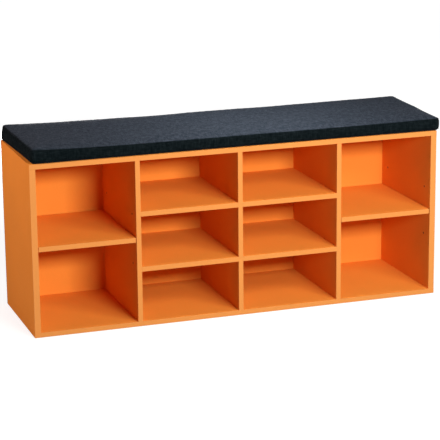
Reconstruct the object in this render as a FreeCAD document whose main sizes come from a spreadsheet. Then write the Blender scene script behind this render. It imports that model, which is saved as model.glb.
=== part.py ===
import FreeCAD, Part
import math
import os
import re

import Sketcher

# Storage bench for shoes with a loose seat cushion.
# Frame: +X to the right, +Y to the back, +Z up, in millimetres.
# The origin is on the floor, under the middle of the carcass.

Vector = FreeCAD.Vector
Z_AXIS = Vector(0, 0, 1)

doc = FreeCAD.newDocument("ShoeBench")
sheet = doc.addObject("Spreadsheet::Sheet", "Sizes")

# Driving sizes: name, value in millimetres, meaning.
SIZES = [
    ("cabinet_width", 1040, "overall width of the carcass"),
    ("cabinet_depth", 300, "overall depth of the carcass, with bands and back"),
    ("cabinet_height", 422, "height of the carcass without the cushion"),
    ("side_thickness", 15, "side panels"),
    ("divider_thickness", 12, "dividers between the columns"),
    ("top_thickness", 12, "top panel"),
    ("bottom_thickness", 12, "bottom panel"),
    ("shelf_thickness", 12, "fixed and adjustable shelves"),
    ("back_thickness", 3, "thin back panel nailed on from behind"),
    ("band_thickness", 1, "edge band on the front of every board"),
    ("band_rounding", 0.5, "rounding of the front edges of a band"),
    ("outer_column", 241, "clear width of the left and right column"),
    ("lower_bay_height", 198, "clear height under an adjustable shelf"),
    ("shelf_end_gap", 1.5, "play at each end of an adjustable shelf"),
    ("shelf_setback", 1.5, "adjustable shelf behind the front of the carcass"),
    ("shelf_back_gap", 3, "play behind an adjustable shelf"),
    ("fit_play", 0.05, "play between a fastener and its hole, on the radius"),
    ("hole_spare", 1, "spare depth at the end of a blind hole"),
    ("pin_radius", 2.5, "stub of a shelf pin"),
    ("pin_depth", 8, "length of the stub"),
    ("peg_radius", 3.5, "head of a shelf pin, under the shelf"),
    ("peg_reach", 8, "length of the head"),
    ("peg_flat", 2, "height of the flat on the head above the pin's axis"),
    ("pin_front_setback", 35, "front pin holes behind the front of the carcass"),
    ("pin_back_setback", 37, "rear pin holes in front of the back panel"),
    ("upper_row_rise", 65, "free upper holes above the pins in use"),
    ("lower_row_drop", 57, "free lower holes below the pins in use"),
    ("screw_head_radius", 5, "head of a carcass screw"),
    ("screw_head_height", 3.5, "head of a carcass screw"),
    ("screw_sink", 0.4, "head below the face of the board"),
    ("screw_shank_radius", 3.5, "shank of a carcass screw"),
    ("screw_reach", 34, "length of a screw in the side or divider"),
    ("screw_tip", 4, "pointed end of a screw"),
    ("screw_tip_radius", 1.2, "blunt point of a screw"),
    ("screw_setback", 50, "screws behind the front and before the back of a board"),
    ("socket_radius", 2.3, "hexagon socket, centre to corner"),
    ("socket_depth", 2.2, "hexagon socket"),
    ("bolt_setback", 70, "cam bolts behind the front and before the back of a shelf"),
    ("bolt_thread_radius", 2.5, "thread of a cam bolt"),
    ("bolt_thread_depth", 8, "thread of a cam bolt in an outer divider"),
    ("bolt_neck_radius", 1.8, "neck of a cam bolt"),
    ("bolt_head_radius", 2.8, "head of a cam bolt"),
    ("bolt_head_length", 3, "head of a cam bolt"),
    ("cam_setback", 24, "cam axis from the end of its shelf"),
    ("cam_radius", 6, "cam disc"),
    ("cam_cover", 2.6, "board left above a cam"),
    ("cam_slack", 0.4, "room round the bolt head inside a cam"),
    ("driver_slot_length", 8.4, "driver slot in the underside of a cam"),
    ("driver_slot_width", 1.5, "driver slot in the underside of a cam"),
    ("driver_slot_depth", 1.4, "driver slot in the underside of a cam"),
    ("dowel_radius", 3, "wooden dowel"),
    ("dowel_reach", 18, "dowel length in a shelf"),
    ("dowel_depth", 8, "dowel length in an outer divider"),
    ("dowel_chamfer", 0.8, "bevel on the ends of a dowel"),
    ("nail_radius", 0.7, "shank of a back panel nail"),
    ("nail_head_radius", 1.9, "head of a nail, flush in the back panel"),
    ("nail_head_height", 0.8, "head of a nail"),
    ("nail_reach", 16, "nail length in the edge of a board"),
    ("nail_tip", 1.4, "pointed end of a nail"),
    ("nail_inset", 45, "upper and lower nails from the ends of a side or divider"),
    ("cushion_extra_length", 6, "cushion longer than the carcass is wide"),
    ("cushion_extra_depth", 4, "cushion deeper than the carcass"),
    ("cushion_side", 29, "height of the cushion's sides"),
    ("cushion_crown", 4.5, "rise of the cushion's middle above its sides"),
    ("cushion_corner", 14, "corner radius of the cushion seen from above"),
    ("cushion_top_round", 7, "rounding of the cushion's upper edge"),
    ("cushion_bottom_round", 5, "rounding of the cushion's lower edge"),
    ("cushion_draw", 3, "front side drawn in at its middle"),
    ("cushion_end_draw", 1.5, "left and right side drawn in at their middle"),
    ("cushion_shift", 8, "cushion lies this far to the right of the middle"),
    ("cushion_setback", 1, "cushion lies this far behind the middle"),
    ("cloth_thickness", 1.2, "cover cloth"),
    ("foam_play", 0.3, "foam core to cover"),
    ("zip_inset", 73, "ends of the zip teeth from the ends of the cushion"),
    ("zip_margin", 12, "zip tape beyond each end of the teeth"),
    ("tape_height", 12, "both zip tapes together"),
    ("tape_thickness", 0.8, "zip tape"),
    ("teeth_height", 4, "closed row of zip teeth"),
    ("teeth_thickness", 1.5, "closed row of zip teeth"),
    ("stop_length", 3, "stop at each end of the zip teeth"),
    ("slider_length", 10, "zip slider along the zip"),
    ("slider_wall", 1.2, "plate and flanges of the zip slider"),
    ("slider_play", 0.3, "slider to teeth and tape"),
    ("ear_gap", 3.6, "clear height between the slider's ears"),
    ("ear_wall", 1, "thickness of an ear"),
    ("pivot_radius", 0.8, "pivot of the zip pull"),
    ("pivot_play", 0.08, "play of the pull on its pivot, on the radius"),
    ("pivot_rise", 2.4, "pivot above the slider's plate"),
    ("eye_wall", 1.1, "ring of the pull round its pivot"),
    ("pull_length", 24, "zip pull from its pivot"),
    ("pull_width", 5, "tab of the zip pull"),
    ("pull_thickness", 1.2, "tab of the zip pull"),
    ("pull_side_play", 0.2, "pull to each ear"),
]

# Sizes worked out from the driving ones, kept in the same sheet.
DERIVED = [
    ("board_depth", "=cabinet_depth - back_thickness - band_thickness", "boards without bands"),
    ("board_front", "=band_thickness - cabinet_depth / 2", "front edge of the boards"),
    ("board_back", "=cabinet_depth / 2 - back_thickness", "rear edge of the boards"),
    ("clear_height", "=cabinet_height - top_thickness - bottom_thickness", "between top and bottom"),
    (
        "inner_column",
        "=(cabinet_width - 2 * side_thickness - 3 * divider_thickness) / 2 - outer_column",
        "clear width of the two inner columns",
    ),
    ("fixed_bay", "=(clear_height - 2 * shelf_thickness) / 3", "height of an inner compartment"),
    ("left_side_x", "=-cabinet_width / 2", "left face of the left side panel"),
    ("left_divider_x", "=left_side_x + side_thickness + outer_column", "left face of the divider"),
    (
        "centre_divider_x",
        "=left_divider_x + divider_thickness + inner_column",
        "left face of the divider",
    ),
    (
        "right_divider_x",
        "=centre_divider_x + divider_thickness + inner_column",
        "left face of the divider",
    ),
    ("right_side_x", "=cabinet_width / 2 - side_thickness", "left face of the right side panel"),
    ("lower_shelf_rise", "=fixed_bay", "lower fixed shelf above the bottom panel"),
    ("upper_shelf_rise", "=2 * fixed_bay + shelf_thickness", "upper fixed shelf above the bottom panel"),
    ("adjustable_length", "=outer_column - 2 * shelf_end_gap", "adjustable shelf, left to right"),
    (
        "adjustable_depth",
        "=board_depth - shelf_setback - shelf_back_gap",
        "adjustable shelf without its band",
    ),
    ("pin_row", "=lower_bay_height - peg_flat", "pins in use above the bottom panel"),
    ("pin_front", "=pin_front_setback - band_thickness", "front holes from a board's front edge"),
    ("pin_back", "=board_depth - pin_back_setback", "rear holes from a board's front edge"),
    ("pin_hole_radius", "=pin_radius + fit_play", "pin hole"),
    ("pin_hole_depth", "=pin_depth + hole_spare", "pin hole"),
    ("screw_back", "=board_depth - screw_setback", "rear screws from a board's front edge"),
    ("bolt_back", "=board_depth - bolt_setback", "rear bolts from a shelf's front edge"),
    ("bolt_reach", "=cam_setback + bolt_head_length / 2", "bolt length in a shelf"),
    ("cam_depth", "=shelf_thickness - cam_cover", "bore for a cam from below a shelf"),
    (
        "cam_floor",
        "=shelf_thickness / 2 - bolt_head_radius - cam_slack",
        "closed face of a cam under the bolt head",
    ),
    ("nail_upper", "=clear_height - nail_inset", "upper nails from a board's lower edge"),
    ("cushion_length", "=cabinet_width + cushion_extra_length", "seat cushion, left to right"),
    ("cushion_depth", "=cabinet_depth + cushion_extra_depth", "seat cushion, front to back"),
    ("cushion_floor", "=cabinet_height", "underside of the cushion"),
    ("cushion_back", "=cushion_depth / 2 + cushion_setback", "rear side of the cushion"),
    ("zip_length", "=cushion_length - 2 * zip_inset", "zip in the rear side of the cushion"),
    ("zip_height", "=cushion_floor + cushion_side / 2", "middle line of the zip"),
    ("teeth_back", "=cushion_back + tape_thickness", "where the teeth stand on the tape"),
    ("slider_height", "=teeth_height + 2 * slider_play + 2 * slider_wall", "slider across the zip"),
    (
        "slider_depth",
        "=teeth_thickness + slider_play + slider_wall",
        "slider from the tape to the face of its plate",
    ),
    ("slider_x", "=cushion_shift + zip_length / 2 - slider_length", "left end of the closed slider"),
    ("pivot_x", "=slider_x + slider_length / 2", "pivot of the pull with the zip closed"),
    ("pivot_y", "=teeth_back + slider_depth + pivot_rise", "pivot of the pull"),
]

# Upright boards: name, thickness, left face.
UPRIGHTS = [
    ("left_side", "side_thickness", "left_side_x"),
    ("left_divider", "divider_thickness", "left_divider_x"),
    ("centre_divider", "divider_thickness", "centre_divider_x"),
    ("right_divider", "divider_thickness", "right_divider_x"),
    ("right_side", "side_thickness", "right_side_x"),
]

# Faces of the upright boards that have pin holes: board, whether it is the right-hand face.
PIN_FACES = [
    ("left_side", True),
    ("left_divider", False),
    ("right_divider", True),
    ("right_side", False),
]

# Rings of the cushion's crown, as shares of the way from its edge to its middle line.
CROWN_RINGS = (0.08, 0.2, 0.4, 0.65, 0.8)

subparts = []


def fill_sheet():
    """Writes the driving and the derived sizes to the spreadsheet."""
    for row, (alias, content, meaning) in enumerate(SIZES + DERIVED, start=1):
        sheet.set(f"A{row}", meaning)
        sheet.set(f"B{row}", str(content))
        sheet.setAlias(f"B{row}", alias)
    doc.recompute()


def formula(text):
    """An expression on the sheet from a text that uses its names."""
    return re.sub(r"[a-z][a-z_]+", lambda word: "Sizes." + word.group(), text)


def number(text):
    """The present value of such a text."""
    return float(sheet.evalExpression(formula(text)))


def bind(thing, prop, text):
    """Ties a property to the sheet."""
    thing.setExpression(prop, formula(text))


def place(thing, x, y, z):
    """Ties a piece's place to the sheet."""
    bind(thing, "Placement.Base.x", x)
    bind(thing, "Placement.Base.y", y)
    bind(thing, "Placement.Base.z", z)


def new_body(name, is_piece=True):
    """An empty body with its label, listed for export if it is a piece of the bench."""
    body = doc.addObject("PartDesign::Body", name)
    body.Label = name
    if is_piece:
        subparts.append(body)
    return body


def new_sketch(body, role, lift=None):
    """A sketch on one of the body's own planes, lifted along the plane's normal."""
    plane = next(p for p in body.Origin.OriginFeatures if p.Role == role)
    sketch = body.newObject("Sketcher::SketchObject", body.Name + "_sketch")
    sketch.AttachmentSupport = [(plane, "")]
    sketch.MapMode = "FlatFace"
    if lift:
        bind(sketch, "AttachmentOffset.Base.z", lift)
    return sketch


def pin_point(sketch, geometry, vertex, spot):
    """Ties one point of a sketch to its two distances from the sketch's origin."""
    for axis, kind, text in ((-2, "DistanceX", spot[0]), (-1, "DistanceY", spot[1])):
        if text == "0":
            sketch.addConstraint(Sketcher.Constraint("PointOnObject", geometry, vertex, axis))
            continue
        distance = Sketcher.Constraint(kind, -1, 1, geometry, vertex, number(text))
        index = sketch.addConstraint(distance)
        bind(sketch, f"Constraints[{index}]", text)


def draw_outline(sketch, spots):
    """A closed outline of straight lines through points given as texts."""
    points = [Vector(number(x), number(y), 0) for x, y in spots]
    lines = []
    for index, point in enumerate(points):
        following = points[(index + 1) % len(points)]
        lines.append(sketch.addGeometry(Part.LineSegment(point, following), False))
    for index, line in enumerate(lines):
        following = lines[(index + 1) % len(lines)]
        sketch.addConstraint(Sketcher.Constraint("Coincident", line, 2, following, 1))
        pin_point(sketch, line, 1, spots[index])


def draw_circles(sketch, spots, radius):
    """Circles of one radius about points given as texts."""
    for spot in spots:
        centre = Vector(number(spot[0]), number(spot[1]), 0)
        circle = sketch.addGeometry(Part.Circle(centre, Z_AXIS, number(radius)), False)
        pin_point(sketch, circle, 3, spot)
        index = sketch.addConstraint(Sketcher.Constraint("Radius", circle, number(radius)))
        bind(sketch, f"Constraints[{index}]", radius)


def pad(body, sketch, length, backwards=False):
    """Raises a sketch along its normal, or against it."""
    feature = body.newObject("PartDesign::Pad", body.Name + "_pad")
    feature.Profile = sketch
    feature.Reversed = backwards
    bind(feature, "Length", length)
    doc.recompute()
    return feature


def pocket(body, sketch, depth, along_normal=False):
    """Cuts a sketch into the body, against its normal unless told otherwise."""
    before = body.Shape.Volume
    feature = body.newObject("PartDesign::Pocket", body.Name + "_pocket")
    feature.Profile = sketch
    feature.Reversed = along_normal
    bind(feature, "Length", depth)
    doc.recompute()
    if body.Shape.Volume >= before:
        raise RuntimeError(f"a pocket of {body.Name} cuts nothing")
    return feature


def drill(body, role, spots, radius, depth, lift=None, along_normal=False):
    """Drills round holes from one plane of the body."""
    sketch = new_sketch(body, role, lift)
    draw_circles(sketch, spots, radius)
    return pocket(body, sketch, depth, along_normal)


def revolve(body, spots):
    """Turns a half section, given as axial and radial texts, about the body's X axis."""
    sketch = new_sketch(body, "XY_Plane")
    draw_outline(sketch, spots)
    feature = body.newObject("PartDesign::Revolution", body.Name + "_turned")
    feature.Profile = sketch
    feature.ReferenceAxis = (sketch, ["H_Axis"])
    feature.Angle = 360
    doc.recompute()
    return feature


def round_edges(body, radius, chosen):
    """Rounds those edges of the body for which chosen(edge) holds."""
    base = body.Tip
    names = [f"Edge{i}" for i, edge in enumerate(base.Shape.Edges, start=1) if chosen(edge)]
    feature = body.newObject("PartDesign::Fillet", body.Name + "_rounding")
    feature.Base = (base, names)
    bind(feature, "Radius", radius)
    doc.recompute()
    return feature


def box_body(name, role, across, up, length, backwards=False):
    """A square-edged board or plate with one corner at its own origin."""
    body = new_body(name)
    sketch = new_sketch(body, role)
    draw_outline(sketch, [("0", "0"), (across, "0"), (across, up), ("0", up)])
    pad(body, sketch, length, backwards)
    return body


def edge_band(name, role, across, up, length):
    """A band along the front of a board, with its two long front edges rounded."""
    body = box_body(name, role, across, up, length)

    def is_long_front_edge(edge):
        on_front = all(abs(vertex.Y) < 1e-6 for vertex in edge.Vertexes)
        return on_front and abs(edge.Length - number(length)) < 1e-6

    round_edges(body, "band_rounding", is_long_front_edge)
    return body


def screw_spots(across):
    """Places of the front and rear carcass screws on one line across."""
    return [(across, "screw_setback"), (across, "screw_back")]


def upright_middle(thickness, face):
    """Middle plane of an upright board, from the left end of the carcass."""
    return f"{face} + cabinet_width / 2 + {thickness} / 2"


def nail_spots_of_upright(thickness):
    """Places of the nails in the rear edge of an upright board."""
    middle = f"{thickness} / 2"
    return [(middle, "nail_inset"), (middle, "clear_height / 2"), (middle, "nail_upper")]


def make_uprights():
    """Side panels and dividers, drilled for screws, nails, pins and shelf fittings."""
    for name, thickness, face in UPRIGHTS:
        label = name + "_panel" if thickness == "side_thickness" else name
        body = box_body(label, "YZ_Plane", "board_depth", "clear_height", thickness)
        place(body, face, "board_front", "bottom_thickness")
        ends = screw_spots(f"{thickness} / 2")
        bore = "screw_shank_radius + fit_play"
        depth = "screw_reach + hole_spare"
        drill(body, "XY_Plane", ends, bore, depth, along_normal=True)
        drill(body, "XY_Plane", ends, bore, depth, lift="clear_height")
        drill(
            body,
            "XZ_Plane",
            nail_spots_of_upright(thickness),
            "nail_radius + fit_play",
            "nail_reach + hole_spare",
            lift="-board_depth",
            along_normal=True,
        )
        drill_pin_holes(body, name, thickness)
        drill_shelf_fittings(body, name, thickness)
        band = edge_band(label + "_edge_band", "XY_Plane", thickness, "band_thickness", "clear_height")
        place(band, face, "-cabinet_depth / 2", "bottom_thickness")


def drill_pin_holes(body, name, thickness):
    """Three rows of two pin holes in a face towards an outer column."""
    rows = ["pin_row - lower_row_drop", "pin_row", "pin_row + upper_row_rise"]
    spots = [(column, row) for row in rows for column in ("pin_front", "pin_back")]
    for board, is_right_face in PIN_FACES:
        if board == name and is_right_face:
            drill(body, "YZ_Plane", spots, "pin_hole_radius", "pin_hole_depth", lift=thickness)
        elif board == name:
            drill(body, "YZ_Plane", spots, "pin_hole_radius", "pin_hole_depth", along_normal=True)


def drill_shelf_fittings(body, name, thickness):
    """Holes for the bolts and dowels of the fixed shelves in the faces of a divider."""
    if thickness == "side_thickness":
        return
    middles = [f"{rise} + shelf_thickness / 2" for rise in ("lower_shelf_rise", "upper_shelf_rise")]
    bolts = [(column, middle) for middle in middles for column in ("bolt_setback", "bolt_back")]
    dowels = [("board_depth / 2", middle) for middle in middles]
    fittings = (
        (bolts, "bolt_thread_radius + fit_play", "bolt_thread_depth + hole_spare"),
        (dowels, "dowel_radius + fit_play", "dowel_depth + hole_spare"),
    )
    for spots, radius, depth in fittings:
        if name == "left_divider":
            drill(body, "YZ_Plane", spots, radius, depth, lift=thickness)
        elif name == "right_divider":
            drill(body, "YZ_Plane", spots, radius, depth, along_normal=True)
        else:
            drill(body, "YZ_Plane", spots, radius, thickness, along_normal=True)


def make_top_and_bottom():
    """Top and bottom panel over the full width, with sunk screws and nail holes."""
    spots = []
    for _, thickness, face in UPRIGHTS:
        spots += screw_spots(upright_middle(thickness, face))
    for name, thickness, rise in (
        ("bottom_panel", "bottom_thickness", "0"),
        ("top_panel", "top_thickness", "cabinet_height - top_thickness"),
    ):
        is_top = name == "top_panel"
        body = box_body(name, "XY_Plane", "cabinet_width", "board_depth", thickness)
        place(body, "-cabinet_width / 2", "board_front", rise)
        drill(
            body,
            "XY_Plane",
            spots,
            "screw_head_radius + fit_play",
            "screw_head_height + screw_sink",
            lift=thickness if is_top else None,
            along_normal=not is_top,
        )
        drill(body, "XY_Plane", spots, "screw_shank_radius + fit_play", thickness, along_normal=True)
        nails = [(middle, f"{thickness} / 2") for middle in column_middles()]
        drill(
            body,
            "XZ_Plane",
            nails,
            "nail_radius + fit_play",
            "nail_reach + hole_spare",
            lift="-board_depth",
            along_normal=True,
        )
        band = edge_band(name + "_edge_band", "YZ_Plane", "band_thickness", thickness, "cabinet_width")
        place(band, "-cabinet_width / 2", "-cabinet_depth / 2", rise)


def column_middles():
    """Middles of the four columns, from the left end of the carcass."""
    return [
        "side_thickness + outer_column / 2",
        "centre_divider_x + cabinet_width / 2 - inner_column / 2",
        "right_divider_x + cabinet_width / 2 - inner_column / 2",
        "cabinet_width - side_thickness - outer_column / 2",
    ]


def back_nail_spots():
    """Places of all nails on the back panel, from its lower left corner."""
    spots = []
    for _, thickness, face in UPRIGHTS:
        middle = upright_middle(thickness, face)
        for _, rise in nail_spots_of_upright(thickness):
            spots.append((middle, f"bottom_thickness + {rise}"))
    for middle in column_middles():
        spots.append((middle, "bottom_thickness / 2"))
        spots.append((middle, "cabinet_height - top_thickness / 2"))
    return spots


def make_back():
    """Thin back panel over the rear edges of the carcass, with its nails."""
    spots = back_nail_spots()
    body = box_body(
        "back_panel", "XZ_Plane", "cabinet_width", "cabinet_height", "back_thickness", backwards=True
    )
    place(body, "-cabinet_width / 2", "board_back", "0")
    head = "nail_head_radius + fit_play"
    drill(body, "XZ_Plane", spots, head, "nail_head_height", lift="-back_thickness", along_normal=True)
    drill(body, "XZ_Plane", spots, "nail_radius + fit_play", "back_thickness")

    nail = new_body("back_nail", is_piece=False)
    end = "back_thickness + nail_reach"
    revolve(
        nail,
        [
            ("0", "0"),
            ("0", "nail_head_radius"),
            ("nail_head_height", "nail_head_radius"),
            ("nail_head_height", "nail_radius"),
            (f"{end} - nail_tip", "nail_radius"),
            (end, "0"),
        ],
    )
    outer_face = number("cabinet_depth / 2")
    left_end = number("-cabinet_width / 2")
    places = [
        placed(left_end + number(x), outer_face, number(z), Vector(0, -1, 0)) for x, z in spots
    ]
    make_group("back_nails", nail, places)


def placed(x, y, z, direction):
    """A placement that turns a piece made along +X to the given direction."""
    turn = FreeCAD.Rotation(Vector(1, 0, 0), direction)
    return FreeCAD.Placement(Vector(x, y, z), turn)


def make_group(name, master, placements):
    """One node that holds like fasteners as separate solids."""
    solids = []
    for placement in placements:
        solid = master.Shape.copy()
        solid.Placement = placement
        solids.append(solid)
    group = doc.addObject("Part::Feature", name)
    group.Label = name
    group.Shape = Part.makeCompound(solids)
    subparts.append(group)


def make_screws():
    """Carcass screws with hexagon sockets, through the top and through the bottom."""
    for name, thickness, face_height, direction in (
        ("bottom_screws", "bottom_thickness", "screw_sink", Vector(0, 0, 1)),
        ("top_screws", "top_thickness", "cabinet_height - screw_sink", Vector(0, 0, -1)),
    ):
        screw = new_body(name + "_pattern", is_piece=False)
        length = f"{thickness} - screw_sink + screw_reach"
        revolve(
            screw,
            [
                ("0", "0"),
                ("0", "screw_head_radius"),
                ("screw_head_height", "screw_head_radius"),
                ("screw_head_height", "screw_shank_radius"),
                (f"{length} - screw_tip", "screw_shank_radius"),
                (length, "screw_tip_radius"),
                (length, "0"),
            ],
        )
        cut_socket(screw)
        height = number(face_height)
        places = []
        for _, board_thickness, face in UPRIGHTS:
            x = number(f"{face} + {board_thickness} / 2")
            for setback in ("screw_setback", "screw_back"):
                places.append(placed(x, number(f"board_front + {setback}"), height, direction))
        make_group(name, screw, places)


def cut_socket(screw):
    """Hexagon socket in the head of a screw that is made along +X."""
    sketch = new_sketch(screw, "YZ_Plane")
    corners = []
    for index in range(6):
        angle = math.radians(60 * index)
        corners.append(Vector(math.cos(angle), math.sin(angle), 0) * number("socket_radius"))
    lines = []
    for index, corner in enumerate(corners):
        following = corners[(index + 1) % 6]
        lines.append(sketch.addGeometry(Part.LineSegment(corner, following), False))
    circle = sketch.addGeometry(Part.Circle(Vector(), Z_AXIS, number("socket_radius")), True)
    sketch.addConstraint(Sketcher.Constraint("Coincident", circle, 3, -1, 1))
    radius = sketch.addConstraint(Sketcher.Constraint("Radius", circle, number("socket_radius")))
    bind(sketch, f"Constraints[{radius}]", "socket_radius")
    for index, line in enumerate(lines):
        following = lines[(index + 1) % 6]
        sketch.addConstraint(Sketcher.Constraint("Coincident", line, 2, following, 1))
        sketch.addConstraint(Sketcher.Constraint("PointOnObject", line, 1, circle))
        if index:
            sketch.addConstraint(Sketcher.Constraint("Equal", lines[0], line))
    sketch.addConstraint(Sketcher.Constraint("PointOnObject", lines[0], 1, -1))
    pocket(screw, sketch, "socket_depth", along_normal=True)


def make_fixed_shelves():
    """Two fixed shelves in each inner column, drilled from their ends and from below."""
    columns = (
        ("left", "left_divider_x + divider_thickness"),
        ("right", "centre_divider_x + divider_thickness"),
    )
    middle = "shelf_thickness / 2"
    bolt_ends = [("bolt_setback", middle), ("bolt_back", middle)]
    dowel_end = [("board_depth / 2", middle)]
    ends = (
        (bolt_ends, "bolt_head_radius + cam_slack", "bolt_reach"),
        (dowel_end, "dowel_radius + fit_play", "dowel_reach + hole_spare"),
    )
    cams = [
        (x, y) for x in ("cam_setback", "inner_column - cam_setback") for y in ("bolt_setback", "bolt_back")
    ]
    for side, start in columns:
        for level in ("lower", "upper"):
            name = f"{side}_{level}_fixed_shelf"
            rise = f"bottom_thickness + {level}_shelf_rise"
            body = box_body(name, "XY_Plane", "inner_column", "board_depth", "shelf_thickness")
            place(body, start, "board_front", rise)
            for spots, radius, depth in ends:
                drill(body, "YZ_Plane", spots, radius, depth, along_normal=True)
                drill(body, "YZ_Plane", spots, radius, depth, lift="inner_column")
            drill(body, "XY_Plane", cams, "cam_radius + fit_play", "cam_depth", along_normal=True)
            band = edge_band(
                name + "_edge_band", "YZ_Plane", "band_thickness", "shelf_thickness", "inner_column"
            )
            place(band, start, "-cabinet_depth / 2", rise)


def make_shelf_fittings():
    """Cams, cam bolts and dowels of the fixed shelves."""
    cam = make_cam()
    plain_bolt = make_bolt("cam_bolt", "bolt_thread_depth", has_two_heads=False)
    double_bolt = make_bolt("double_cam_bolt", "divider_thickness", has_two_heads=True)
    plain_dowel = make_dowel("dowel", "dowel_depth + dowel_reach")
    through_dowel = make_dowel("through_dowel", "divider_thickness + 2 * dowel_reach")
    right, left = Vector(1, 0, 0), Vector(-1, 0, 0)
    left_face = number("left_divider_x + divider_thickness")
    centre_face = number("centre_divider_x")
    right_face = number("right_divider_x")
    cams, plain_bolts, double_bolts, plain_dowels, through_dowels = [], [], [], [], []
    for level in ("lower_shelf_rise", "upper_shelf_rise"):
        underside = number(f"bottom_thickness + {level}")
        middle = underside + number("shelf_thickness / 2")
        for setback in ("bolt_setback", "bolt_back"):
            y = number(f"board_front + {setback}")
            depth = number("bolt_thread_depth")
            plain_bolts.append(placed(left_face - depth, y, middle, right))
            plain_bolts.append(placed(right_face + depth, y, middle, left))
            double_bolts.append(placed(centre_face - number("bolt_reach"), y, middle, right))
            for start in (left_face, centre_face + number("divider_thickness")):
                end = start + number("inner_column")
                cams.append(placed(start + number("cam_setback"), y, underside, right))
                cams.append(placed(end - number("cam_setback"), y, underside, left))
        y = number("board_front + board_depth / 2")
        depth = number("dowel_depth")
        plain_dowels.append(placed(left_face - depth, y, middle, right))
        plain_dowels.append(placed(right_face + depth, y, middle, left))
        through_dowels.append(placed(centre_face - number("dowel_reach"), y, middle, right))
    make_group("shelf_cams", cam, cams)
    make_group("shelf_cam_bolts", plain_bolt, plain_bolts)
    make_group("shelf_double_cam_bolts", double_bolt, double_bolts)
    make_group("shelf_dowels", plain_dowel, plain_dowels)
    make_group("shelf_through_dowels", through_dowel, through_dowels)


def make_cam():
    """Cam disc, open towards the end of its shelf (-X) for the bolt head, with a driver slot below."""
    body = new_body("cam", is_piece=False)
    sketch = new_sketch(body, "XY_Plane")
    draw_circles(sketch, [("0", "0")], "cam_radius")
    pad(body, sketch, "cam_depth")
    mouth = new_sketch(body, "XY_Plane", lift="cam_depth")
    half = "bolt_head_radius + cam_slack"
    inner_end = "bolt_head_length / 2 + cam_slack"
    draw_outline(
        mouth,
        [
            ("-cam_radius - cam_slack", f"-({half})"),
            (inner_end, f"-({half})"),
            (inner_end, half),
            ("-cam_radius - cam_slack", half),
        ],
    )
    pocket(body, mouth, "cam_depth - cam_floor")
    slot = new_sketch(body, "XY_Plane")
    slot_end = "driver_slot_length / 2"
    slot_side = "driver_slot_width / 2"
    draw_outline(
        slot,
        [
            (f"-{slot_end}", f"-{slot_side}"),
            (slot_end, f"-{slot_side}"),
            (slot_end, slot_side),
            (f"-{slot_end}", slot_side),
        ],
    )
    pocket(body, slot, "driver_slot_depth", along_normal=True)
    return body


def make_bolt(name, grip, has_two_heads):
    """Bolt with its thread or plain grip in a divider and a headed neck for each shelf."""
    body = new_body(name, is_piece=False)
    neck_end = "bolt_reach - bolt_head_length"
    if has_two_heads:
        start = [
            ("0", "0"),
            ("0", "bolt_head_radius"),
            ("bolt_head_length", "bolt_head_radius"),
            ("bolt_head_length", "bolt_neck_radius"),
            ("bolt_reach", "bolt_neck_radius"),
        ]
        offset = "bolt_reach"
    else:
        start = [("0", "0")]
        offset = "0"
    grip_end = f"{offset} + {grip}"
    revolve(
        body,
        start
        + [
            (offset, "bolt_thread_radius"),
            (grip_end, "bolt_thread_radius"),
            (grip_end, "bolt_neck_radius"),
            (f"{grip_end} + {neck_end}", "bolt_neck_radius"),
            (f"{grip_end} + {neck_end}", "bolt_head_radius"),
            (f"{grip_end} + bolt_reach", "bolt_head_radius"),
            (f"{grip_end} + bolt_reach", "0"),
        ],
    )
    return body


def make_dowel(name, length):
    """Wooden dowel with bevelled ends."""
    body = new_body(name, is_piece=False)
    revolve(
        body,
        [
            ("0", "0"),
            ("0", "dowel_radius - dowel_chamfer"),
            ("dowel_chamfer", "dowel_radius"),
            (f"{length} - dowel_chamfer", "dowel_radius"),
            (length, "dowel_radius - dowel_chamfer"),
            (length, "0"),
        ],
    )
    return body


def make_adjustable_shelves():
    """One loose shelf in each outer column, with its band, on four pins."""
    for side, start in (
        ("left", "left_side_x + side_thickness"),
        ("right", "right_divider_x + divider_thickness"),
    ):
        name = f"{side}_adjustable_shelf"
        x = f"{start} + shelf_end_gap"
        rise = "bottom_thickness + lower_bay_height"
        body = box_body(name, "XY_Plane", "adjustable_length", "adjustable_depth", "shelf_thickness")
        place(body, x, "board_front + shelf_setback", rise)
        band = edge_band(
            name + "_edge_band", "YZ_Plane", "band_thickness", "shelf_thickness", "adjustable_length"
        )
        place(band, x, "shelf_setback - cabinet_depth / 2", rise)


def make_pins():
    """Shelf pins in the middle row of holes, each with a flat for the shelf to lie on."""
    faces = {name: (thickness, face) for name, thickness, face in UPRIGHTS}
    for board, is_right_face in PIN_FACES:
        thickness, face = faces[board]
        for spot, setback in (("front", "pin_front"), ("rear", "pin_back")):
            body = new_body(f"{board}_{spot}_pin")
            revolve(
                body,
                [
                    ("0", "0"),
                    ("0", "pin_radius"),
                    ("pin_depth", "pin_radius"),
                    ("pin_depth", "peg_radius"),
                    ("pin_depth + peg_reach", "peg_radius"),
                    ("pin_depth + peg_reach", "0"),
                ],
            )
            flat = new_sketch(body, "YZ_Plane", lift="pin_depth")
            draw_outline(
                flat,
                [
                    ("-peg_radius", "peg_flat"),
                    ("peg_radius", "peg_flat"),
                    ("peg_radius", "2 * peg_radius"),
                    ("-peg_radius", "2 * peg_radius"),
                ],
            )
            pocket(body, flat, "peg_reach", along_normal=True)
            y = f"board_front + {setback}"
            z = "bottom_thickness + pin_row"
            if is_right_face:
                place(body, f"{face} + {thickness} - pin_depth", y, z)
            else:
                body.Placement.Rotation = FreeCAD.Rotation(Z_AXIS, 180)
                place(body, f"{face} + pin_depth", y, z)


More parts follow.
